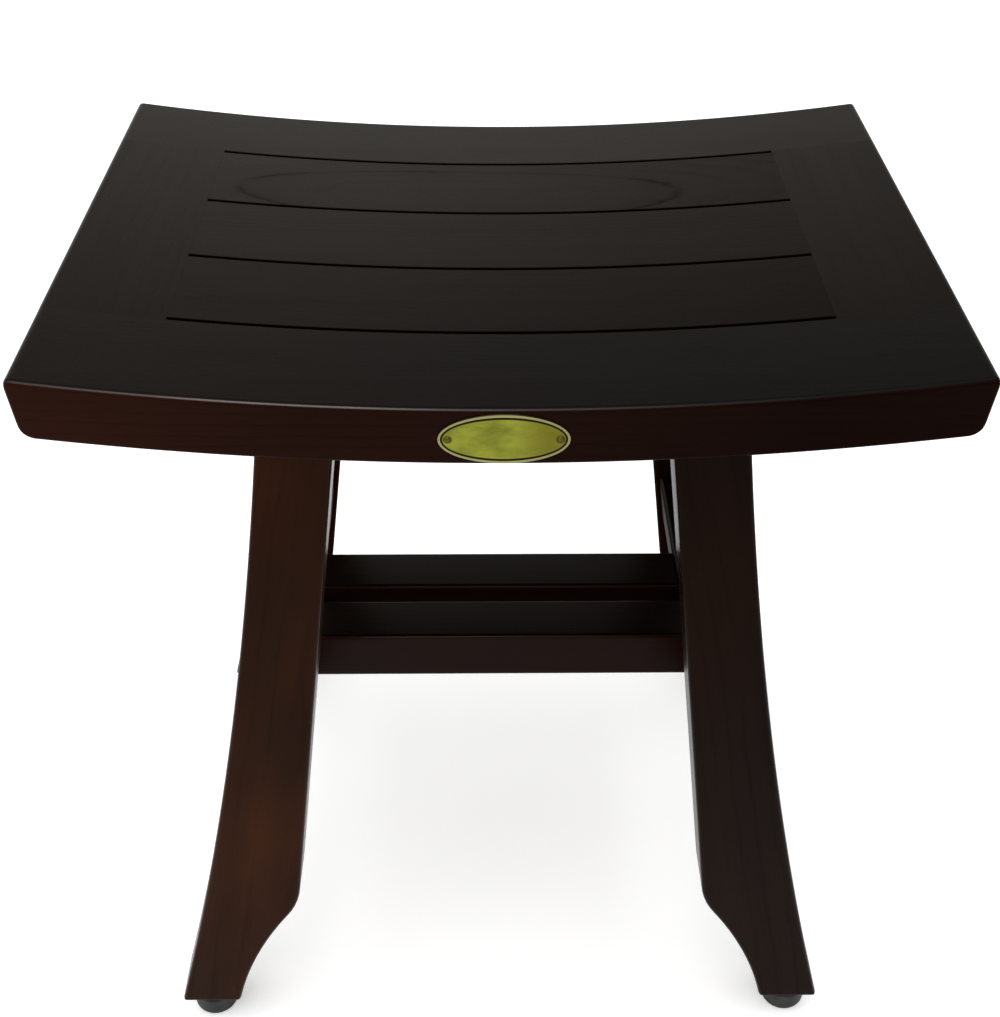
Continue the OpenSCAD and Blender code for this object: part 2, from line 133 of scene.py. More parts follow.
def block(name, lo, hi, radii, small=0.12, segments=4):
    """A box with its own radius on each long edge, from a bevel that is applied here.
    radii has (axis, sign, sign) -> radius, the signs being those of the other two axes."""
    bm = bmesh.new()
    v = {}
    for i in (0, 1):
        for j in (0, 1):
            for k in (0, 1):
                v[i, j, k] = bm.verts.new(((lo[0], hi[0])[i], (lo[1], hi[1])[j], (lo[2], hi[2])[k]))
    for q in (
        ((0, 0, 0), (0, 1, 0), (1, 1, 0), (1, 0, 0)), ((0, 0, 1), (1, 0, 1), (1, 1, 1), (0, 1, 1)),
        ((0, 0, 0), (1, 0, 0), (1, 0, 1), (0, 0, 1)), ((0, 1, 0), (0, 1, 1), (1, 1, 1), (1, 1, 0)),
        ((0, 0, 0), (0, 0, 1), (0, 1, 1), (0, 1, 0)), ((1, 0, 0), (1, 1, 0), (1, 1, 1), (1, 0, 1)),
    ):
        bm.faces.new([v[c] for c in q])
    weight = bm.edges.layers.float.new("bevel_weight_edge")
    big = max(list(radii.values()) + [small])
    key = {vert: c for c, vert in v.items()}
    for e in bm.edges:
        a, b = key[e.verts[0]], key[e.verts[1]]
        axis = [i for i in range(3) if a[i] != b[i]][0]
        other = [1 if a[i] else -1 for i in range(3) if i != axis]
        e[weight] = radii.get((axis, other[0], other[1]), small) / big
    me = bpy.data.meshes.new(name + "_raw")
    bm.to_mesh(me)
    bm.free()
    o = link(bpy.data.objects.new(name + "_raw", me))
    m = o.modifiers.new("round", "BEVEL")
    m.limit_method = "WEIGHT"
    m.width = big
    m.segments = segments
    m.use_clamp_overlap = False
    dg = bpy.context.evaluated_depsgraph_get()
    done = bpy.data.meshes.new_from_object(o.evaluated_get(dg))
    bpy.data.objects.remove(o)
    bpy.data.meshes.remove(me)
    out = bmesh.new()
    out.from_mesh(done)
    bpy.data.meshes.remove(done)
    return out


def section(a0, a1, b0, b1, r, n=6):
    """A rounded rectangle. r holds the radii at (a0, b0), (a1, b0), (a1, b1) and (a0, b1)."""
    pts = []
    for k, (ca, cb, sa, sb) in enumerate(((a0, b0, 1, 1), (a1, b0, -1, 1), (a1, b1, -1, -1), (a0, b1, 1, -1))):
        for i in range(n + 1):
            t = math.radians(180 + 90 * k + 90 * i / n)
            pts.append((ca + (sa + math.cos(t)) * r[k], cb + (sb + math.sin(t)) * r[k]))
    return pts


def loft(rings):
    """Closed rings of points joined one to the next, with a flat cap at each end."""
    bm = bmesh.new()
    rows = [[bm.verts.new(p) for p in ring] for ring in rings]
    for a, b in zip(rows, rows[1:]):
        for i in range(len(a)):
            j = (i + 1) % len(a)
            bm.faces.new((a[i], a[j], b[j], b[i]))
    bm.faces.new(rows[0][::-1])
    bm.faces.new(rows[-1])
    return bm


def rod(r, start, end, n=48):
    """Rings of a round cutter from start to end, in millimetres."""
    axis = Vector(end) - Vector(start)
    turn = axis.to_track_quat("Z", "Y").to_matrix()
    ring = [turn @ Vector((r * math.cos(2 * math.pi * i / n), r * math.sin(2 * math.pi * i / n), 0)) for i in range(n)]
    return [[tuple(Vector(e) + p) for p in ring] for e in (start, end)]


def bar_rings(lo, hi):
    """Rings of a square cutter."""
    return [[(x, lo[1], lo[2]), (x, hi[1], lo[2]), (x, hi[1], hi[2]), (x, lo[1], hi[2])] for x in (lo[0], hi[0])]


def drill(bm, cutters):
    """Cuts each list of rings out of a placed piece (metres), with a boolean that is applied here."""
    bmesh.ops.recalc_face_normals(bm, faces=bm.faces[:])
    whole = bpy.data.meshes.new("whole")
    bm.to_mesh(whole)
    bm.free()
    tool = bmesh.new()
    for rings in cutters:
        one = loft([[tuple(Vector(p) * MM) for p in ring] for ring in rings])
        bmesh.ops.recalc_face_normals(one, faces=one.faces[:])
        one_mesh = bpy.data.meshes.new("one")
        one.to_mesh(one_mesh)
        one.free()
        tool.from_mesh(one_mesh)
        bpy.data.meshes.remove(one_mesh)
    tool_mesh = bpy.data.meshes.new("tool")
    tool.to_mesh(tool_mesh)
    tool.free()
    a, b = link(bpy.data.objects.new("whole", whole)), link(bpy.data.objects.new("tool", tool_mesh))
    m = a.modifiers.new("cut", "BOOLEAN")
    m.object = b
    m.operation = "DIFFERENCE"
    m.solver = "EXACT"
    done = bpy.data.meshes.new_from_object(a.evaluated_get(bpy.context.evaluated_depsgraph_get()))
    out = bmesh.new()
    out.from_mesh(done)
    for o, me in ((a, whole), (b, tool_mesh)):
        bpy.data.objects.remove(o)
        bpy.data.meshes.remove(me)
    bpy.data.meshes.remove(done)
    return out


def slice_along(bm, axis, places):
    for p in places:
        co, no = [0, 0, 0], [0, 0, 0]
        co[axis], no[axis] = p, 1
        bmesh.ops.bisect_plane(bm, geom=bm.verts[:] + bm.edges[:] + bm.faces[:], plane_co=co, plane_no=no, dist=1e-5)


def place(bm, where):
    for v in bm.verts:
        v.co = Vector(where(*v.co)) * MM


def finish_piece(bm, name, body, node, material, weighted=True):
    bmesh.ops.recalc_face_normals(bm, faces=bm.faces[:])
    for e in bm.edges:
        if len(e.link_faces) == 2 and e.calc_face_angle() > math.radians(35):
            e.smooth = False
    me = bpy.data.meshes.new(name)
    bm.to_mesh(me)
    bm.free()
    me.polygons.foreach_set("use_smooth", [True] * len(me.polygons))
    o = link(bpy.data.objects.new(name, me))
    me.materials.append(material)
    if weighted:
        w = o.modifiers.new("weighted", "WEIGHTED_NORMAL")
        w.weight = 80
        w.keep_sharp = True
    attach(o, body)
    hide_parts(node)
    return o


def seat_place(x_from):
    """Bends a flat board about the seat's arc and leans its ends."""
    def where(x, y, h):
        drop = SEAT_H - (ZC - math.sqrt((R + SEAT_T - h) ** 2 - (SEAT_W / 2) ** 2))
        k = max(abs(x) - x_from, 0.0) / (SEAT_W / 2 - x_from)
        x2 = x - math.copysign(drop * math.tan(END_LEAN) * k, x)
        return (x2, y, seat_z(x2, h))
    return where


def seat_mid(x):
    return seat_z(x, SEAT_T / 2)


# ---------------------------------------------------------------- node trees
class Graph:
    def __init__(self, owner):
        owner.use_nodes = True
        self.t = owner.node_tree
        self.t.nodes.clear()

    def put(self, sock, v):
        if isinstance(v, bpy.types.NodeSocket):
            self.t.links.new(v, sock)
        elif v is not None:
            sock.default_value = v

    def node(self, kind, ins=(), **props):
        n = self.t.nodes.new(kind)
        for k, v in props.items():
            setattr(n, k, v)
        for i, v in (ins.items() if isinstance(ins, dict) else enumerate(ins)):
            self.put(n.inputs[i], v)
        return n

    def math(self, op, a, b=None, c=None, clamp=False):
        return self.node("ShaderNodeMath", (a, b, c), operation=op, use_clamp=clamp).outputs[0]

    def vec(self, op, a, b=None, scale=None):
        n = self.node("ShaderNodeVectorMath", {0: a, 1: b}, operation=op)
        if scale is not None:
            n.inputs["Scale"].default_value = scale
        return n.outputs["Value"] if op in ("DOT_PRODUCT", "LENGTH") else n.outputs[0]

    def noise(self, at, scale=1.0, detail=2.0, rough=0.5, distortion=0.0):
        return self.node(
            "ShaderNodeTexNoise",
            {"Vector": at, "Scale": scale, "Detail": detail, "Roughness": rough, "Distortion": distortion},
        ).outputs[0]

    def ramp(self, fac, *stops, mode="EASE"):
        n = self.node("ShaderNodeValToRGB", {0: fac})
        r = n.color_ramp
        r.interpolation = mode
        while len(r.elements) < len(stops):
            r.elements.new(0.5)
        for e, (p, c) in zip(r.elements, stops):
            e.position = p
            e.color = (c, c, c, 1) if isinstance(c, (int, float)) else (*c, 1)
        return n.outputs[0]

    def range(self, v, a, b, c, d, kind="SMOOTHSTEP"):
        n = self.node("ShaderNodeMapRange", {0: v, 1: a, 2: b, 3: c, 4: d}, interpolation_type=kind)
        return n.outputs[0]

    def mix(self, fac, a, b, blend="MIX"):
        n = self.node("ShaderNodeMix", data_type="RGBA", blend_type=blend)
        self.put(n.inputs[0], fac)
        for s, v in ((n.inputs[6], a), (n.inputs[7], b)):
            self.put(s, (*v, 1) if isinstance(v, tuple) and len(v) == 3 else v)
        return n.outputs[2]

    def stretch(self, at, s, shift=(0, 0, 0)):
        return self.node("ShaderNodeMapping", {0: at, 1: shift, 3: s}, vector_type="POINT").outputs[0]

    def out(self, shader):
        self.node("ShaderNodeOutputMaterial", {0: shader})


def new_material(name):
    m = bpy.data.materials.new(name)
    return m, Graph(m)


def local_mm(g, centre, a, b, n):
    """The piece's own coordinates in millimetres: along the grain, across it and through it."""
    p = g.node("ShaderNodeTexCoord").outputs["Object"]
    p = g.vec("SCALE", p, scale=1000.0)
    p = g.vec("SUBTRACT", p, centre)
    return (
        g.vec("DOT_PRODUCT", p, a),
        g.vec("DOT_PRODUCT", p, b),
        g.vec("DOT_PRODUCT", p, n),
    )


def wood(name, centre, along, across, through, heart, spacing, dark, light, seed=0.0, line=0.5,
         pores=0.5, top_dark=0.5, blotch=0.5, rough=0.27, streak=0.5, tones=None, patches=(),
         shine=None, edge=None, side_shine=None, shaded_slot_sides=(), flame=None, wander=1.0, flank=None):
    """Dark-stained teak under a satin lacquer. heart is where the growth rings' centre lies, across
    and through the piece, so a board's cut through them draws its grain. tones holds stops of
    (place along the grain, strength of the colour), shine the same for the gloss, side_shine for the
    gloss of upright faces, flank for that of faces that look along X, and edge for that of the long
    top edges, where lacquer has built up. Where given, these stops carry painted light and shade
    as well as the wood's own tone, and edge's stops a painted highlight.
    patches are (along, across, half length, half width, gain) of lighter places in the stain.
    shaded_slot_sides are the signs of the Y faces that line a slot, darkened there as painted shade.
    flame is (place along the grain, bend, ring) of a trunk that bends, whose rings close in long
    ovals, the one just beyond that radius strong and its neighbours faint."""
    mat, g = new_material(name)
    u, v, w = local_mm(g, centre, along, across, through)
    p = g.node("ShaderNodeCombineXYZ", (u, v, w)).outputs[0]
    p = g.vec("ADD", p, (seed * 37.0, seed * 11.0, seed * 5.0))
    # growth rings, wandering a little along the board
    drift = g.noise(g.stretch(p, (0.006, 0.03, 0.03)), detail=2.0)
    ripple = g.noise(g.stretch(p, (0.035, 0.25, 0.25)), detail=2.0, rough=0.6)
    jag = g.noise(g.stretch(p, (0.4, 0.8, 0.8), (7, 3, 1)), detail=2.0, rough=0.7)
    dv = g.math("SUBTRACT", v, heart[0])
    dw = g.math("SUBTRACT", w, heart[1])
    if flame:
        du = g.math("SUBTRACT", u, flame[0])
        dw = g.math("MULTIPLY_ADD", g.math("MULTIPLY", du, du), flame[1], dw)
    d = g.math("SQRT", g.math("ADD", g.math("MULTIPLY", dv, dv), g.math("MULTIPLY", dw, dw)))
    d = g.math("MULTIPLY_ADD", drift, 5.0 * wander, d)
    d = g.math("MULTIPLY_ADD", ripple, 0.9, d)
    d = g.math("MULTIPLY_ADD", jag, 0.5, d)
    phase = g.math("FRACT", g.math("DIVIDE", d, spacing))
    # a thin dark line of large pores, then wood that darkens slowly to the next one
    ring = g.ramp(phase, (0.0, 1.0), (0.06, 0.75), (0.15, 0.08), (0.75, 0.14), (0.94, 0.35), (1.0, 1.0))
    # the line comes and goes along the board
    fade = g.noise(g.stretch(p, (0.018, 0.05, 0.05), (9, 4, 2)), detail=1.0)
    ring = g.math("MULTIPLY", ring, g.range(fade, 0.35, 0.62, 0.25, 1.0))
    if flame:
        ring = g.math("MULTIPLY", ring, g.range(d, flame[2] - 0.7, flame[2] + 0.7, 0.2, 1.0))
        ring = g.math("MULTIPLY", ring, g.range(d, flame[2] + 2.7, flame[2] + 3.7, 1.0, 0.35))
    # fine fibres, broad figure and uneven stain
    fibre = g.noise(g.stretch(p, (0.02, 0.9, 0.9)), detail=4.0, rough=0.65)
    figure = g.noise(g.stretch(p, (0.005, 0.09, 0.09), (3, 1, 7)), detail=3.0, rough=0.55)
    stain = g.noise(g.stretch(p, (0.011, 0.024, 0.024), (5, 8, 1)), detail=2.5, rough=0.55)
    # open pores: short dashes along the grain, thicker on the ring lines
    dash = g.noise(g.stretch(p, (0.16, 2.6, 2.6), (1, 2, 3)), detail=1.0, rough=0.4)
    pore = g.range(dash, 0.62, 0.74, 0.0, 1.0)
    pore = g.math("MULTIPLY", pore, g.math("MULTIPLY_ADD", ring, 0.7, 0.3))
    # colour
    tone = g.math("MULTIPLY_ADD", g.math("SUBTRACT", stain, 0.5), 2.4 * blotch, 0.5)
    tone = g.math("ADD", tone, g.math("MULTIPLY", g.math("SUBTRACT", figure, 0.5), 1.3 * streak))
    tone = g.math("ADD", tone, g.math("MULTIPLY", g.math("SUBTRACT", fibre, 0.5), 0.7 * streak), clamp=True)
    col = g.mix(tone, dark, light)
    shade = g.math("MULTIPLY_ADD", ring, -0.55 * line, 1.0)
    shade = g.math("MULTIPLY", shade, g.math("MULTIPLY_ADD", pore, -0.6 * pores, 1.0))
    # the faces lining a slot darker, as painted shade, and the top darker than the sides
    nx, ny, nz = g.node("ShaderNodeSeparateXYZ", (g.node("ShaderNodeTexCoord").outputs["Normal"],)).outputs
    for sign in shaded_slot_sides:
        shade = g.math("MULTIPLY", shade, g.range(g.math("MULTIPLY", ny, sign), 0.5, 0.9, 1.0, 0.25))
    shade = g.math("MULTIPLY", shade, g.range(nz, 0.55, 0.95, 1.0, 1.0 - top_dark))

    def along_grain(stops):
        first, last = stops[0][0], stops[-1][0]
        most = max(k for _, k in stops)
        at = g.math("DIVIDE", g.math("SUBTRACT", u, first), last - first, clamp=True)
        stops = [((x - first) / (last - first), k / most) for x, k in stops]
        return g.math("MULTIPLY", g.ramp(at, *stops, mode="LINEAR"), most)

    if tones:
        shade = g.math("MULTIPLY", shade, along_grain(tones))
    for pu, pv, ru, rv, gain in patches:
        a = g.math("DIVIDE", g.math("SUBTRACT", u, pu), ru)
        b = g.math("DIVIDE", g.math("SUBTRACT", v, pv), rv)
        far = g.math("SQRT", g.math("ADD", g.math("MULTIPLY", a, a), g.math("MULTIPLY", b, b)))
        far = g.math("MULTIPLY_ADD", g.math("SUBTRACT", figure, 0.5), 1.6, far)
        shade = g.math("MULTIPLY", shade, g.range(far, 0.1, 1.1, gain, 1.0))
    col = g.mix(1.0, col, g.node("ShaderNodeCombineColor", (shade, shade, shade)).outputs[0], "MULTIPLY")
    # gloss and relief: pores and ring lines catch less light than the lacquer between them
    r = g.math("MULTIPLY_ADD", g.math("SUBTRACT", stain, 0.5), 0.12, rough)
    r = g.math("MULTIPLY_ADD", ring, 0.08 * line, r)
    r = g.math("MULTIPLY_ADD", pore, 0.2 * pores, r)
    r = g.math("MULTIPLY_ADD", g.math("SUBTRACT", fibre, 0.5), 0.08, r)
    gloss = g.math("MULTIPLY_ADD", ring, -0.45 * line, 1.0)
    gloss = g.math("MULTIPLY", gloss, g.math("MULTIPLY_ADD", pore, -0.75 * pores, 1.0))
    gloss = g.math("MULTIPLY", gloss, g.math("MULTIPLY_ADD", g.math("SUBTRACT", figure, 0.5), 0.5 * streak, 1.0))
    gloss = g.math("MULTIPLY", gloss, SPEC)
    if shine:
        gloss = g.math("MULTIPLY", gloss, along_grain(shine))
    if side_shine:
        gloss = g.math("MULTIPLY", gloss, g.mix(g.range(nz, 0.3, 0.7, 0.0, 1.0), along_grain(side_shine), (1.0, 1.0, 1.0)))
    if flank:
        gloss = g.math("MULTIPLY", gloss, g.mix(g.range(g.math("ABSOLUTE", nx), 0.5, 0.9, 0.0, 1.0), (1.0, 1.0, 1.0), along_grain(flank)))
    highlight_tint = None
    # painted highlight: extra gloss where lacquer has built up on the long top edges, set along the grain to follow
    # where the front light's reflection falls, and tinted warm
    if edge:
        rim = g.math("MULTIPLY", g.range(nz, 0.77, 0.89, 1.0, 0.0), g.range(nz, 0.53, 0.7, 0.0, 1.0))
        for sign in shaded_slot_sides:
            rim = g.math("MULTIPLY", rim, g.range(g.math("MULTIPLY", ny, sign), 0.02, 0.15, 1.0, 0.0))
        gloss = g.math("MULTIPLY_ADD", g.math("MULTIPLY", rim, along_grain(edge)), g.math("MULTIPLY_ADD", fibre, 0.8, 0.6), gloss)
        highlight_tint = g.mix(rim, (1.0, 1.0, 1.0), (1.0, 0.9, 0.82))
    h = g.math("MULTIPLY", fibre, 0.35)
    h = g.math("MULTIPLY_ADD", ring, -0.4 * line, h)
    h = g.math("MULTIPLY_ADD", pore, -1.0 * pores, h)
    bump = g.node("ShaderNodeBump", {"Height": h, "Strength": 1.0, "Distance": 0.00004})
    s = g.node("ShaderNodeBsdfPrincipled", {"Base Color": col, "Roughness": r, "Normal": bump.outputs[0],
                                            "Specular IOR Level": gloss})
    s.inputs["IOR"].default_value = 1.5
    if highlight_tint:
        g.put(s.inputs["Specular Tint"], highlight_tint)
    g.out(s.outputs[0])
    return mat


SPEC = 0.05
X, Y, Z = (1, 0, 0), (0, 1, 0), (0, 0, 1)

# ---------------------------------------------------------------- seat
DARK, LIGHT = (0.0058, 0.0013, 0.00015), (0.0110, 0.0026, 0.0003)
FACE_DARK, FACE_LIGHT = (0.0118, 0.0020, 0.0002), (0.0175, 0.0031, 0.0004)


def span(a, b, step):
    n = max(int(round((b - a) / step)), 1)
    return [a + (b - a) * i / n for i in range(1, n)]


# the ring centre of each board, across and below its middle, and the rings' spacing
BOARDS = {
    # The front rail's tones are painted light from the left together with the wood's own tone, its shine painted sheen,
    # its side_shine a painted reflection fading to the right, and its edge stops the painted highlight along its top
    # edge.
    "seat_front_rail": dict(y=(FRONT, SLOTS[0] - 1), heart=(-95.0, -60.0), spacing=2.6, seed=1.3, line=0.35,
                            shine=((-168, 0.98), (-80, 0.9), (80, 0.85), (168, 0.95)),
                            side_shine=((-168, 0.83), (-130, 0.78), (-60, 0.68), (-20, 0.7), (60, 0.57), (110, 0.42), (168, 0.42)),
                            edge=((-168, 0.17), (-120, 0.32), (-100, 0.56), (-50, 0.55), (-20, 0.30), (35, 0.15), (70, 0.09), (110, 0.02), (168, 0.0)),
                            tones=((-168, 1.0), (-150, 1.0), (-85, 0.65), (-40, 0.58), (45, 0.38), (105, 0.27), (168, 0.29))),
    "seat_rear_rail": dict(y=(SLOTS[3] + 1, BACK), heart=(120.0, -75.0), spacing=2.2, seed=4.1, line=0.3),
    # the slats' shine stops are painted sheen, stronger towards the left
    "seat_slat_front": dict(y=(SLOTS[0] + 1, SLOTS[1] - 1), heart=(58.0, -90.0), spacing=2.3, seed=2.2, line=0.3,
                            shine=((-122, 0.84), (-60, 0.78), (60, 0.58), (122, 0.55))),
    "seat_slat_middle": dict(y=(SLOTS[1] + 1, SLOTS[2] - 1), heart=(-70.0, -62.0), spacing=2.8, seed=7.7, line=0.35,
                             shine=((-122, 0.94), (-60, 0.9), (60, 0.67), (122, 0.63))),
    "seat_slat_rear": dict(y=(SLOTS[2] + 1, SLOTS[3] - 1), heart=(-8.0, -50.1), spacing=3.375, seed=3.4, line=1.15,
                           flame=(-51.0, 0.00023, 55.5), wander=0.35,
                           shine=((-122, 0.94), (-60, 0.9), (60, 0.66), (122, 0.58))),
}
# stations along a full-length rail, closer where its ends are rounded
STEPS = [6.0 * i for i in range(27)] + [160.0, 163.0, 164.0, 165.0, 165.8, 166.5, 167.1, 167.6, 167.9, 167.97, 168.0]
STATIONS = sorted({-x for x in STEPS} | set(STEPS) | {-122.5, -121.5, 121.5, 122.5})


def rail_ring(x, y0, y1, outer):
    ax = abs(x)
    top = SEAT_T - 3.0 + math.sqrt(max(9.0 - max(ax - 165.0, 0.0) ** 2, 0.0))
    low = 5.0 - math.sqrt(max(25.0 - max(ax - 163.0, 0.0) ** 2, 0.0))
    pull = 1.6 - math.sqrt(max(2.56 - max(ax - 166.4, 0.0) ** 2, 0.0))
    soft = 0.3 if ax < 122.0 else 0.05
    if outer < 0:
        ring = section(y0 + pull, y1, low, top, (1.5, 0.2, soft, 2.0))
    else:
        ring = section(y0, y1 - pull, low, top, (0.2, 1.5, 2.0, soft))
    return [(x, y, h) for y, h in ring]


for name, b in BOARDS.items():
    y0, y1 = b["y"]
    dark, light = DARK, LIGHT
    if "rail" in name:
        s = -1 if "front" in name else 1
        bm = loft([rail_ring(x, y0, y1, s) for x in STATIONS])
        place(bm, seat_place(0.0))
        slot = y1 if s < 0 else y0
        cutters = [rod(4.05, (e * x, slot + 0.2 * -s, seat_mid(x)), (e * x, slot + 20.5 * s, seat_mid(x)))
                   for e in (-1, 1) for x in (142.0, 156.0)]
        under = seat_z(BEARER_X, 0)
        cutters += [rod(4.55, (e * BEARER_X, s * BOLT_Y, under - 3), (e * BEARER_X, s * BOLT_Y, under + 13.5)) for e in (-1, 1)]
        if s < 0:
            cutters += [rod(0.75, (e * PIN_X, FRONT - 2.5, PLATE_Z), (e * PIN_X, FRONT + 9.5, PLATE_Z), 24) for e in (-1, 1)]
            dark, light = FACE_DARK, FACE_LIGHT
        bm = drill(bm, cutters)
    else:
        full = section(y0, y1, 0, SEAT_T, (0.2, 0.2, 0.3, 0.3))
        tongue = section(y0 + 2, y1 - 2, 7.75, 14.75, (0.2, 0.2, 0.2, 0.2))
        xs = [x for x in STATIONS if abs(x) <= 120.0]
        bm = loft([[(-132, y, h) for y, h in tongue], [(-X_SLAT, y, h) for y, h in tongue]]
                  + [[(x, y, h) for y, h in full] for x in [-X_SLAT] + xs + [X_SLAT]]
                  + [[(X_SLAT, y, h) for y, h in tongue], [(132, y, h) for y, h in tongue]])
        place(bm, lambda x, y, h: (x, y, seat_z(x, h)))
    m = wood("teak_" + name, (0, (y0 + y1) / 2, 328.5), X, Y, Z, b["heart"], b["spacing"], dark, light,
             seed=b["seed"], line=b["line"], pores=0.9 if "flame" in b else 0.45,
             flame=b.get("flame"), wander=b.get("wander", 1.0),
             top_dark=0.82 if name == "seat_front_rail" else 0.7, tones=b.get("tones"), shine=b.get("shine"),
             side_shine=b.get("side_shine"), edge=b.get("edge"),
             shaded_slot_sides=(1,) if name == "seat_front_rail" else (-1,) if name == "seat_rear_rail" else (1, -1))
    finish_piece(bm, name + "_board", "stool", name, m)

for s, name in ((-1, "seat_left_end"), (1, "seat_right_end")):
    rings = []
    for i in range(14):
        y = SLOTS[0] - 1 + (SLOTS[3] - SLOTS[0] + 2) * i / 13
        ring = section(X_SLAT, SEAT_W / 2, 0, SEAT_T, (0.1, 5.0, 3.0, 0.1), n=8)
        # the curved top and underside need points between the corners
        full = []
        for a, b in zip(ring, ring[1:] + ring[:1]):
            full.append(a)
            if abs(b[0] - a[0]) > 20:
                full += [(a[0] + (b[0] - a[0]) * k / 7, a[1]) for k in range(1, 7)]
        rings.append([(s * x, y, h) for x, h in full])
    bm = loft(rings)
    place(bm, seat_place(X_SLAT))
    cutters = []
    for slot, away in ((SLOTS[0] - 1, 1), (SLOTS[3] + 1, -1)):
        for x in (142.0, 156.0):
            cutters.append(rod(4.05, (s * x, slot - 0.2 * away, seat_mid(x)), (s * x, slot + 20.5 * away, seat_mid(x))))
    for y0, y1 in ((SLOTS[i] + 1, SLOTS[i + 1] - 1) for i in range(3)):
        cutters.append([[(s * x, y, seat_z(x, h)) for y, h in
                         ((y0 + 1.8, 7.55), (y1 - 1.8, 7.55), (y1 - 1.8, 14.95), (y0 + 1.8, 14.95))]
                        for x in (121.0, 125.0, 129.0, 133.0)])
    bm = drill(bm, cutters)
    # the end boards' shine is painted sheen, a little stronger on the left end
    m = wood("teak_" + name, (s * 145.0, 3.5, 331.0), Y, X, Z, (s * 46.0, -80.0), 2.5, DARK, LIGHT,
             seed=5.5 + s, line=0.25, pores=0.4, top_dark=0.75, shine=((-80, 0.85 - 0.05 * s), (80, 0.88 - 0.06 * s)))
    finish_piece(bm, name + "_board", "stool", name, m)

# ---------------------------------------------------------------- legs
# Each leg's stain colours. The left legs are lighter than the right ones, as painted light from the left together with
# the wood's own tone, and the rear legs are darker, as painted shade under the seat.
LEG_TONES = {
    "front_left_leg": ((0.0105, 0.0028, 0.0003), (0.0270, 0.0066, 0.0006)),
    "front_right_leg": ((0.0042, 0.0011, 0.0001), (0.0085, 0.0024, 0.0003)),
    "rear_left_leg": ((0.0070, 0.0018, 0.0002), (0.0150, 0.0038, 0.0004)),
    "rear_right_leg": ((0.0045, 0.0012, 0.0002), (0.0095, 0.0026, 0.0003)),
}
LEG_PATCHES = {
    "front_left_leg": ((50.0, -14.0, 45.0, 16.0, 1.3), (-40.0, -6.0, 60.0, 9.0, 1.2)),
}
# tone along each front leg, from the foot (-150) to the seat (150): painted shade under the seat together with the
# wood's own tone
LEG_FALL = {
    "front_left_leg": ((-150, 0.85), (-133, 0.9), (-80, 1.05), (-46, 1.1), (16, 0.66), (88, 0.52), (139, 0.78), (150, 0.8)),
    "front_right_leg": ((-150, 0.95), (-133, 0.97), (-80, 0.92), (-46, 0.72), (16, 0.76), (88, 0.85), (139, 0.63), (150, 0.6)),
}
# gloss along each front leg, weaker towards the seat and on the right leg: painted sheen
LEG_SHINE = {
    "front_left_leg": ((-150, 0.8), (-80, 0.8), (16, 0.78), (88, 0.72), (150, 0.62)),
    "front_right_leg": ((-150, 0.72), (-80, 0.8), (-20, 0.75), (88, 0.6), (150, 0.52)),
}
# gloss of the legs' faces that look along X, a painted reflection; on the right leg it drops near the seat as painted
# shade
LEG_FLANK = {
    "front_left_leg": ((-150, 1.25), (60, 1.25), (110, 1.1), (150, 1.1)),
    "front_right_leg": ((-150, 1.3), (30, 1.3), (90, 0.3), (150, 0.3)),
}
LEG_TALL = 292.0


def leg_place(sx, sy, out):
    def where(a, y, h):
        z = FOOT_Z + h
        for _ in range(3):
            x = out + leg_in(z) + a / 30.0 * (leg_out(z) - leg_in(z))
            top = ZC - math.sqrt((R + SEAT_T + 0.2) ** 2 - x * x)
            z = FOOT_Z + h * (top - FOOT_Z) / LEG_TALL
        return (sx * x, sy * y, z)
    return where


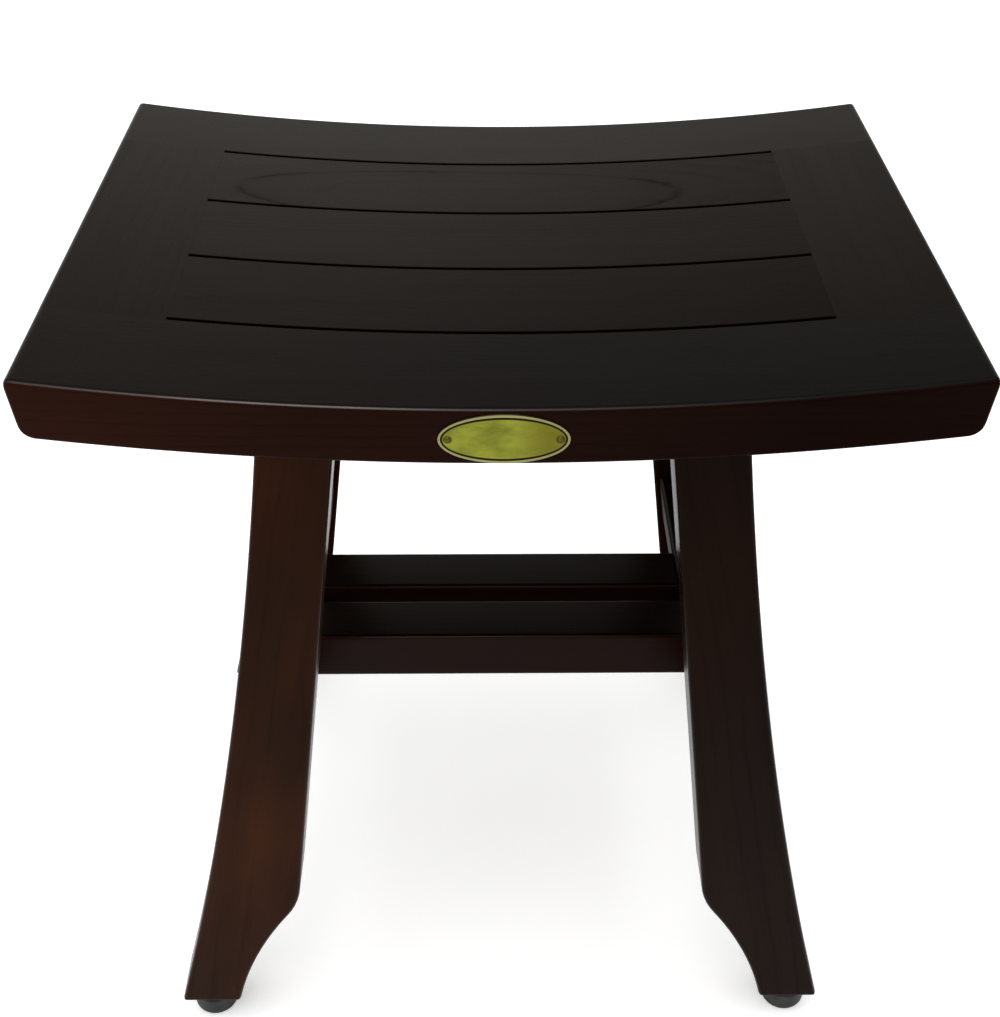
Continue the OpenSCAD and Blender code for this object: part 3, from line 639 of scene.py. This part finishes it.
for name, (dark, light) in LEG_TONES.items():
    sx = 1 if "right" in name else -1
    sy = 1 if "rear" in name else -1
    out = REAR_OUT if sy > 0 else 0.0
    radii = {}
    for a in (-1, 1):
        for b in (-1, 1):
            radii[2, a, b] = 2.0
        radii[0, a, -1] = 1.5
        radii[1, a, -1] = 1.5
    bm = block(name, (0, Y_IN, 0), (30, Y_LEG, LEG_TALL), radii, small=0.0)
    slice_along(bm, 2, span(3.0, 96.0, 3.0) + span(93.0, LEG_TALL - 2, 6.0))
    # the flat under the foot, opened for the threaded insert
    under = min(bm.faces, key=lambda f: (f.calc_center_median().z, -f.calc_area()))
    rim = [e for e in under.edges]
    bmesh.ops.delete(bm, geom=[under], context="FACES_ONLY")
    place(bm, leg_place(sx, sy, out))
    ring = bmesh.ops.create_circle(bm, cap_ends=False, radius=6.1 * MM, segments=32,
                                   matrix=Matrix.Translation((sx * (X_FOOT + out) * MM, sy * Y_MID * MM, FOOT_Z * MM)))
    hole = list({e for v in ring["verts"] for e in v.link_edges})
    bmesh.ops.triangle_fill(bm, use_beauty=True, edges=rim + hole, normal=(0, 0, -1))
    for depth, radius in ((14.2, 6.1), (14.2, 4.7), (24.0, 4.7)):
        got = bmesh.ops.extrude_edge_only(bm, edges=hole)["geom"]
        verts = [v for v in got if isinstance(v, bmesh.types.BMVert)]
        hole = [e for e in got if isinstance(e, bmesh.types.BMEdge)]
        c = Vector((sx * (X_FOOT + out) * MM, sy * Y_MID * MM, 0))
        for v in verts:
            flat = Vector((v.co.x, v.co.y, 0)) - c
            flat = c + flat.normalized() * radius * MM
            v.co = (flat.x, flat.y, (FOOT_Z + depth) * MM)
    bmesh.ops.contextual_create(bm, geom=hole)
    cutters = []
    for x, z0, z1 in ((BEARER_X, 287.8, 304.2), (RAIL_X, 128.3, 144.7)):
        ys = sorted((sy * (Y_IN - 1), sy * (Y_IN + 16)))
        xs = sorted((sx * (x - 5.2), sx * (x + 5.2)))
        cutters.append(bar_rings((xs[0], ys[0], z0), (xs[1], ys[1], z1)))
    bm = drill(bm, cutters)
    tall = Vector((-53.0 * sx, 0, 292.0)).normalized()
    side = Vector((292.0 * sx, 0, 53.0)).normalized()
    # the rear legs get almost no gloss, as painted shade under the seat
    m = wood("teak_" + name, (sx * 100.0, sy * Y_MID, 160.0), tuple(tall), tuple(side), Y,
             (sx * 30.0, sy * -70.0), 2.7, dark, light, seed=8.0 + sx * 2 + sy, line=0.3, pores=0.4,
             top_dark=0.3, blotch=0.9, patches=LEG_PATCHES.get(name, ()), tones=LEG_FALL.get(name),
             rough=0.27 if sy < 0 else 0.65, shine=LEG_SHINE.get(name, ((-150, 0.002), (150, 0.002))), flank=LEG_FLANK.get(name))
    finish_piece(bm, name + "_sabre", "stool", name, m)

# ---------------------------------------------------------------- CAD nodes that stay
def smooth_by_angle():
    """Smooth shading with sharp edges above 30 degrees, as a modifier."""
    t = bpy.data.node_groups.new("smooth_by_angle", "GeometryNodeTree")
    t.interface.new_socket("Geometry", in_out="INPUT", socket_type="NodeSocketGeometry")
    t.interface.new_socket("Geometry", in_out="OUTPUT", socket_type="NodeSocketGeometry")
    i, o = t.nodes.new("NodeGroupInput"), t.nodes.new("NodeGroupOutput")
    weld = t.nodes.new("GeometryNodeMergeByDistance")
    weld.inputs["Distance"].default_value = 1e-6
    faces = t.nodes.new("GeometryNodeSetShadeSmooth")
    faces.domain = "FACE"
    edges = t.nodes.new("GeometryNodeSetShadeSmooth")
    edges.domain = "EDGE"
    angle = t.nodes.new("GeometryNodeInputMeshEdgeAngle")
    over = t.nodes.new("FunctionNodeCompare")
    over.data_type = "FLOAT"
    over.operation = "GREATER_THAN"
    over.inputs[1].default_value = math.radians(30)
    edges.inputs["Shade Smooth"].default_value = False
    L = t.links.new
    L(i.outputs[0], weld.inputs["Geometry"])
    L(weld.outputs[0], faces.inputs["Geometry"])
    L(faces.outputs[0], edges.inputs["Geometry"])
    L(angle.outputs["Unsigned Angle"], over.inputs[0])
    L(over.outputs[0], edges.inputs["Selection"])
    L(edges.outputs[0], o.inputs[0])
    return t


SMOOTH = smooth_by_angle()


def dress(node, material):
    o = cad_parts[node]
    for s in o.material_slots:
        s.material = material
    if not o.material_slots:
        raise ValueError(node + " has no material slot")
    m = o.modifiers.new("smooth", "NODES")
    m.node_group = SMOOTH
    return o


# painted light on the bars: their colour lighter towards the left end, and a painted highlight along the front
# stretcher's top edge, fading to the right
BAR_PAINTED_LIGHT, BAR_EDGE_HIGHLIGHT = ((-90, 1.25), (0, 1.05), (90, 0.95)), ((-90, 0.14), (0, 0.08), (90, 0.04))
BAR_DARK, BAR_LIGHT = (0.0055, 0.0011, 0.0002), (0.0100, 0.0020, 0.0003)
dress("front_stretcher", wood("teak_front_stretcher", (0, -18, 136.5), X, Y, Z, (-60.0, -50.0), 2.4, BAR_DARK,
                              BAR_LIGHT, seed=2.9, line=0.3, pores=0.4, top_dark=0.62, tones=BAR_PAINTED_LIGHT, edge=BAR_EDGE_HIGHLIGHT,
                              shine=((-90, 1.3), (90, 1.0))))
# the rear stretcher gets a fainter painted edge highlight; on both stretchers shine is painted sheen, stronger at the
# left
dress("rear_stretcher", wood("teak_rear_stretcher", (0, 18, 136.5), X, Y, Z, (45.0, -70.0), 2.2, BAR_DARK,
                             BAR_LIGHT, seed=6.3, line=0.3, pores=0.4, top_dark=0.62, tones=BAR_PAINTED_LIGHT, edge=((-90, 0.03), (90, 0.03)),
                             shine=((-90, 1.35), (90, 1.1))))
for s, side in ((-1, "left"), (1, "right")):
    # the side rails' faces that look along X get almost no gloss, as painted shade under the seat
    dress(side + "_side_rail", wood("teak_%s_side_rail" % side, (s * RAIL_X, 0, 136.5), Y, X, Z, (s * 50.0, -60.0),
                                    2.3, BAR_DARK, BAR_LIGHT, seed=3.1 + s, line=0.3, pores=0.4, top_dark=0.6,
                                    flank=((-100, 0.01), (100, 0.01))))
    dress(side + "_top_rail", wood("teak_%s_top_rail" % side, (s * BEARER_X, 0, 300.0), Y, X, Z, (s * 60.0, 40.0),
                                   2.5, BAR_DARK, BAR_LIGHT, seed=9.1 + s, line=0.3, pores=0.4, top_dark=0.3))


def plain_wood():
    mat, g = new_material("beech_dowel")
    u, v, w = local_mm(g, (0, 0, 0), Y, X, Z)
    p = g.node("ShaderNodeCombineXYZ", (u, v, w)).outputs[0]
    fibre = g.noise(g.stretch(p, (0.08, 1.6, 1.6)), detail=4.0, rough=0.6)
    fleck = g.noise(g.stretch(p, (0.5, 3.0, 3.0)), detail=1.0)
    col = g.mix(fibre, (0.36, 0.24, 0.13), (0.52, 0.38, 0.23))
    col = g.mix(g.range(fleck, 0.6, 0.7, 0.0, 0.5), col, (0.24, 0.14, 0.07))
    r = g.math("MULTIPLY_ADD", fibre, 0.2, 0.5)
    bump = g.node("ShaderNodeBump", {"Height": fibre, "Strength": 1.0, "Distance": 0.00005})
    s = g.node("ShaderNodeBsdfPrincipled", {"Base Color": col, "Roughness": r, "Normal": bump.outputs[0]})
    g.out(s.outputs[0])
    return mat


def turned_metal(name, dark, light, rough, scale=1.0):
    """Plated or turned metal: fine tool marks, faint clouding and small scratches."""
    mat, g = new_material(name)
    p = g.vec("SCALE", g.node("ShaderNodeTexCoord").outputs["Object"], scale=1000.0)
    cloud = g.noise(g.stretch(p, (0.25, 0.25, 0.25)), detail=4.0, rough=0.6)
    marks = g.noise(g.stretch(p, (0.6, 0.6, 6.0)), detail=3.0, rough=0.7)
    scratch = g.noise(g.stretch(p, (4.0, 0.5, 2.0), (5, 1, 0)), detail=2.0, rough=0.6)
    col = g.mix(cloud, dark, light)
    r = g.math("MULTIPLY_ADD", cloud, 0.18, rough)
    r = g.math("MULTIPLY_ADD", g.range(scratch, 0.6, 0.72, 0.0, 1.0), 0.12, r)
    h = g.math("MULTIPLY_ADD", marks, 0.6, g.math("MULTIPLY", scratch, 0.4))
    bump = g.node("ShaderNodeBump", {"Height": h, "Strength": 1.0, "Distance": 0.00003 * scale})
    s = g.node("ShaderNodeBsdfPrincipled", {"Base Color": col, "Roughness": r, "Normal": bump.outputs[0]})
    s.inputs["Metallic"].default_value = 1.0
    g.out(s.outputs[0])
    return mat


def plate_material():
    """Satin brass with a slightly green cast, brushed lengthways, and a dark filled border line."""
    mat, g = new_material("plate_brass")
    u, v, w = local_mm(g, (0, -126.0, PLATE_Z), X, Z, Y)
    p = g.node("ShaderNodeCombineXYZ", (u, v, w)).outputs[0]
    brush = g.noise(g.stretch(p, (0.35, 7.0, 1.0)), detail=4.0, rough=0.7)
    cloud = g.noise(g.stretch(p, (0.09, 0.16, 0.1), (2, 5, 1)), detail=3.0, rough=0.55)
    grit = g.noise(g.stretch(p, (2.2, 2.6, 1.0)), detail=2.0)

    def oval(a, b):
        x, y = g.math("DIVIDE", u, a), g.math("DIVIDE", v, b)
        return g.math("SQRT", g.math("ADD", g.math("MULTIPLY", x, x), g.math("MULTIPLY", y, y)))

    # the border line lies in the shallow groove between two ovals
    inner = g.range(oval(21.15, 7.95), 0.997, 1.003, 0.0, 1.0)
    outer = g.range(oval(21.9, 8.85), 0.998, 1.003, 1.0, 0.0)
    line = g.math("MULTIPLY", inner, outer)
    rim = g.range(oval(21.8, 8.85), 0.996, 1.006, 0.0, 1.0)
    # a painted shadow ring round each pin, and a browner right end
    px = g.math("SUBTRACT", g.math("ABSOLUTE", u), PIN_X)
    pin_shadow = g.range(g.math("SQRT", g.math("ADD", g.math("MULTIPLY", px, px), g.math("MULTIPLY", v, v))), 1.25, 2.0, 1.0, 0.0)
    brown = g.range(g.math("MULTIPLY_ADD", g.math("SUBTRACT", cloud, 0.5), 22.0, u), 4.0, 17.0, 0.0, 0.75)
    col = g.mix(g.range(cloud, 0.3, 0.7, 0.0, 1.0), (0.106, 0.113, 0.011), (0.198, 0.21, 0.023))
    col = g.mix(g.math("MULTIPLY", g.range(brush, 0.35, 0.7, 0.0, 1.0), 0.3), col, (0.27, 0.28, 0.06))
    col = g.mix(brown, col, (0.105, 0.089, 0.009))
    col = g.mix(g.math("MULTIPLY", rim, 0.75), col, (0.235, 0.225, 0.11))
    col = g.mix(g.math("MULTIPLY", pin_shadow, 0.8), col, (0.028, 0.022, 0.004))
    col = g.mix(g.math("MULTIPLY", g.range(grit, 0.62, 0.75, 0.0, 1.0), 0.35), col, (0.20, 0.18, 0.03))
    col = g.mix(line, col, (0.012, 0.007, 0.004))
    r = g.math("MULTIPLY_ADD", brush, 0.14, 0.30)
    r = g.math("MULTIPLY_ADD", line, 0.35, r)
    metal = g.math("SUBTRACT", 1.0, line)
    h = g.math("MULTIPLY_ADD", brush, 0.5, g.math("MULTIPLY", cloud, 2.0))
    bump = g.node("ShaderNodeBump", {"Height": h, "Strength": 1.0, "Distance": 0.00004})
    s = g.node("ShaderNodeBsdfPrincipled",
               {"Base Color": col, "Roughness": r, "Metallic": metal, "Normal": bump.outputs[0],
                "Specular IOR Level": g.math("MULTIPLY_ADD", line, -0.45, 0.5)})
    g.out(s.outputs[0])
    return mat


def rubber_material():
    mat, g = new_material("black_rubber")
    p = g.vec("SCALE", g.node("ShaderNodeTexCoord").outputs["Object"], scale=1000.0)
    grain = g.noise(g.stretch(p, (3.0, 3.0, 3.0)), detail=3.0, rough=0.6)
    dust = g.noise(g.stretch(p, (0.22, 0.22, 0.22), (4, 4, 1)), detail=4.0, rough=0.6)
    col = g.mix(g.range(dust, 0.4, 0.75, 0.0, 1.0), (0.011, 0.011, 0.011), (0.030, 0.029, 0.027))
    r = g.math("MULTIPLY_ADD", grain, 0.2, 0.55)
    bump = g.node("ShaderNodeBump", {"Height": grain, "Strength": 1.0, "Distance": 0.00006})
    s = g.node("ShaderNodeBsdfPrincipled", {"Base Color": col, "Roughness": r, "Normal": bump.outputs[0]})
    s.inputs["Specular IOR Level"].default_value = 0.3
    g.out(s.outputs[0])
    return mat


DOWEL = plain_wood()
STEEL = turned_metal("zinc_steel", (0.46, 0.47, 0.49), (0.66, 0.67, 0.68), 0.28)
BRASS = turned_metal("turned_brass", (0.55, 0.42, 0.18), (0.78, 0.64, 0.34), 0.22)
PIN = turned_metal("pin_brass", (0.05, 0.043, 0.007), (0.11, 0.094, 0.018), 0.2)
RUBBER = rubber_material()
dress("name_plate", plate_material())
dress("plate_pins", PIN)
for n in ("seat_dowels", "stretcher_dowels"):
    dress(n, DOWEL)
for n in ("seat_inserts", "stretcher_inserts"):
    dress(n, BRASS)
for n in ("seat_bolts", "seat_washers", "stretcher_bolts", "stretcher_washers", "foot_inserts"):
    dress(n, STEEL)
for p in ("front_left", "front_right", "rear_left", "rear_right"):
    dress("foot_pad_" + p, RUBBER)
    dress("foot_stud_" + p, STEEL)

# ---------------------------------------------------------------- floor
def floor_material():
    mat, g = new_material("pale_floor")
    p = g.node("ShaderNodeTexCoord").outputs["Object"]
    cloud = g.noise(g.stretch(p, (1.4, 1.4, 1.4)), detail=3.0)
    fine = g.noise(g.stretch(p, (220.0, 220.0, 220.0)), detail=2.0)
    col = g.mix(cloud, (0.91, 0.91, 0.915), (0.94, 0.94, 0.945))
    bump = g.node("ShaderNodeBump", {"Height": fine, "Strength": 0.3, "Distance": 0.0002})
    r = g.math("MULTIPLY_ADD", fine, 0.1, 0.6)
    s = g.node("ShaderNodeBsdfPrincipled", {"Base Color": col, "Roughness": r, "Normal": bump.outputs[0]})
    s.inputs["Specular IOR Level"].default_value = 0.2
    # a sheet lit a little from below, so that shadows on it stay faint
    s.inputs["Emission Color"].default_value = (1.0, 1.0, 1.0, 1.0)
    s.inputs["Emission Strength"].default_value = 0.3
    g.out(s.outputs[0])
    return mat


bm = bmesh.new()
bmesh.ops.create_grid(bm, x_segments=12, y_segments=12, size=8.0)
me = bpy.data.meshes.new("floor")
bm.to_mesh(me)
bm.free()
floor = link(bpy.data.objects.new("floor", me))
me.materials.append(floor_material())

# ---------------------------------------------------------------- light
world = bpy.data.worlds.new("studio")
scene.world = world
g = Graph(world)
ray = g.node("ShaderNodeSeparateXYZ", (g.node("ShaderNodeTexCoord").outputs["Generated"],)).outputs
# lower and a little yellow behind the stool, brightest low down at the left; fuller in front
low = g.range(ray[2], 0.34, 0.49, 1.2, 0.75)
low = g.math("MULTIPLY", low, g.range(ray[0], -0.15, 0.32, 1.0, 0.68))
back = g.node("ShaderNodeCombineColor", (low, g.math("MULTIPLY", low, 0.985), g.math("MULTIPLY", low, 0.88))).outputs[0]
fore = g.math("MULTIPLY", g.range(ray[0], -0.5, 0.9, 1.0, 0.55), 1.3)
fore = g.node("ShaderNodeCombineColor", (fore, fore, fore)).outputs[0]
col = g.mix(g.range(ray[1], 0.0, 0.45, 0.0, 1.0), fore, back)
bg = g.node("ShaderNodeBackground", {0: col, 1: 1.0})
g.node("ShaderNodeOutputWorld", {0: bg.outputs[0]})


def softbox(name, at, aim, size, power, colour=(1, 1, 1)):
    d = bpy.data.lights.new(name, "AREA")
    d.shape = "RECTANGLE"
    d.size, d.size_y = size
    d.energy = power
    d.color = colour
    o = link(bpy.data.objects.new(name, d))
    o.location = at
    o.rotation_euler = (Vector(aim) - Vector(at)).to_track_quat("-Z", "Y").to_euler()
    return o


softbox("front", (-0.135, -1.01, 1.78), (-0.05, -0.125, 0.335), (0.32, 1.1), 4.5, (1.0, 0.96, 0.93))
softbox("over", (0.0, 0.2, 3.2), (0, 0.2, 0), (3.0, 3.0), 42.0, (0.97, 0.98, 1.08))

# ---------------------------------------------------------------- camera
# where the photograph was taken from, in millimetres and radians, fitted to the seat, slots, legs and feet
CAM = (-6.87, -580.3, 614.5)
YAW, PITCH, ROLL = 0.01921, 0.55636, -0.0079
FOCAL, PX, PY = 1589.6, 509.8, 400.0
fw = Vector((math.sin(YAW) * math.cos(PITCH), math.cos(YAW) * math.cos(PITCH), -math.sin(PITCH)))
right = Vector((math.cos(YAW), -math.sin(YAW), 0))
down = fw.cross(right)
r2 = right * math.cos(ROLL) + down * math.sin(ROLL)
d2 = down * math.cos(ROLL) - right * math.sin(ROLL)
cam_data = bpy.data.cameras.new("camera")
cam = link(bpy.data.objects.new("camera", cam_data))
cam.matrix_world = Matrix((
    (r2.x, -d2.x, -fw.x, CAM[0] * MM),
    (r2.y, -d2.y, -fw.y, CAM[1] * MM),
    (r2.z, -d2.z, -fw.z, CAM[2] * MM),
    (0, 0, 0, 1),
))
cam_data.sensor_fit = "HORIZONTAL"
cam_data.sensor_width = 36.0
cam_data.lens = FOCAL * 36.0 / 1000
cam_data.shift_x = (500.0 - PX) / 1000
cam_data.shift_y = (PY - 508.5) / 1000
cam_data.clip_start, cam_data.clip_end = 0.01, 50.0
scene.camera = cam
scene.view_settings.view_transform = "Standard"
